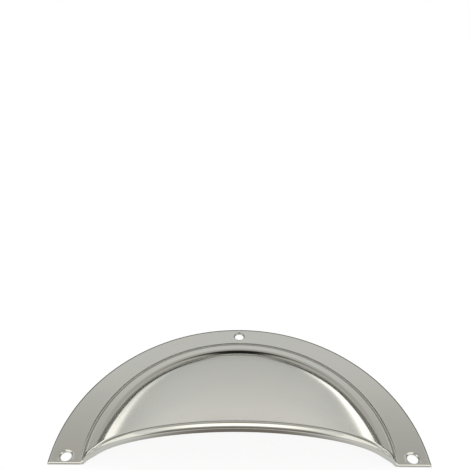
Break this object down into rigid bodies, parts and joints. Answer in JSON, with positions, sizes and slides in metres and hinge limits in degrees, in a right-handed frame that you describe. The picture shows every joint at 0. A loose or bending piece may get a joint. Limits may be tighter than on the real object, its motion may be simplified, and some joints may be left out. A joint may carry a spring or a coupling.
{
  "type": "clamshell vent",
  "caption": "Half-round pressed stainless steel vent hood with a flat screw flange, a raised bead and an arched open mouth.",
  "frame": {"origin": "centre of the flange's outer arc, on the mounting plane, midway between the two end screw holes", "axes": "+Z out of the mounting plane, towards the roof; +Y towards the middle of the arc, away from the mouth; +X along the straight front edge"},
  "size_m": [0.127, 0.0665, 0.0195],
  "materials": {
    "stainless_sheet": "satin to bright polished stainless steel"
  },
  "bodies": {
    "root": {"clamshell_hood": "stainless_sheet"}
  },
  "joints": []
}
